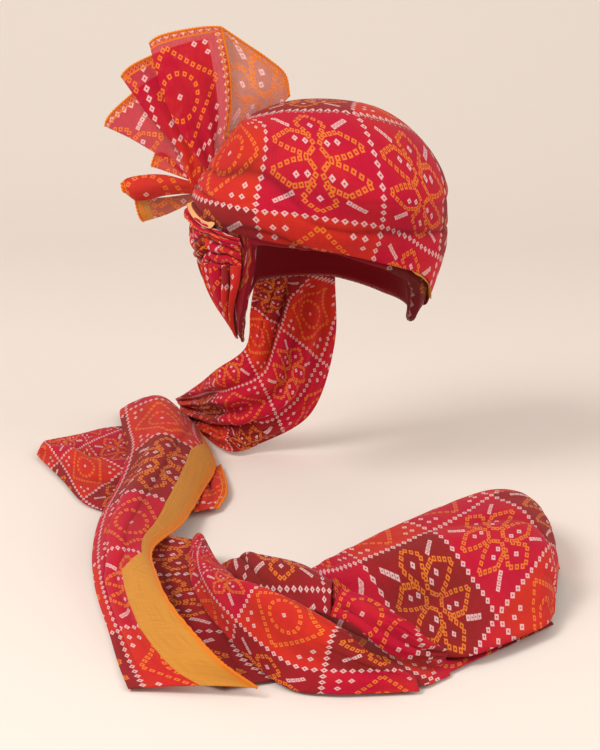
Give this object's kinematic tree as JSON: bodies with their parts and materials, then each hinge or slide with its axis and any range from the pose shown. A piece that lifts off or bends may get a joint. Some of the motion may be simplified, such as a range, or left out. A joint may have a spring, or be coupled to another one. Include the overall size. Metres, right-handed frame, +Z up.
{
  "type": "tied turban with pleated plume and trailing end",
  "caption": "South Asian tied turban, pagri, in resist-dot cloth: wound crown with an open head hollow, pleated fan plume at one side and a long free end folded on the floor.",
  "frame": {"origin": "middle of the head hollow, level with the brow, on the axis of the head that holds the turban up", "axes": "+Z up, -Y the way the wearer faces, +X to the wearer's left, the viewer's right in the picture"},
  "size_m": [0.4846, 0.7534, 0.4322],
  "materials": {
    "printed_cloth": "matt fine cotton, crimson and orange-red with resist dots",
    "sheer_maroon_cloth": "matt fine cotton, maroon with resist dots",
    "under_cloth": "matt wound cotton layers",
    "gold_border": "plain slubbed gold-yellow border"
  },
  "bodies": {
    "root": {"under_wrap": "under_cloth", "crown_swath": "printed_cloth", "side_roll_1": "printed_cloth", "side_roll_2": "printed_cloth", "side_roll_3": "printed_cloth", "side_roll_4": "printed_cloth", "side_fold_1": "printed_cloth", "side_fold_2": "printed_cloth", "side_fold_3": "printed_cloth", "side_fold_4": "printed_cloth", "plume_tab": "sheer_maroon_cloth", "plume_loop": "printed_cloth", "plume_corner": "printed_cloth", "plume_pleat_left": "printed_cloth", "plume_pleat_middle": "printed_cloth", "plume_pleat_tall": "printed_cloth", "plume_wing": "sheer_maroon_cloth", "tail_root": "printed_cloth", "tail_flap": "printed_cloth", "tail_over": "printed_cloth", "tail_border": "gold_border", "tail_side_flap": "printed_cloth", "tail_inner": "sheer_maroon_cloth", "tail_front": "printed_cloth", "tail_back_fold": "sheer_maroon_cloth", "tail_cross_flap": "printed_cloth", "tail_end": "printed_cloth", "tail_under": "printed_cloth"}
  },
  "joints": []
}
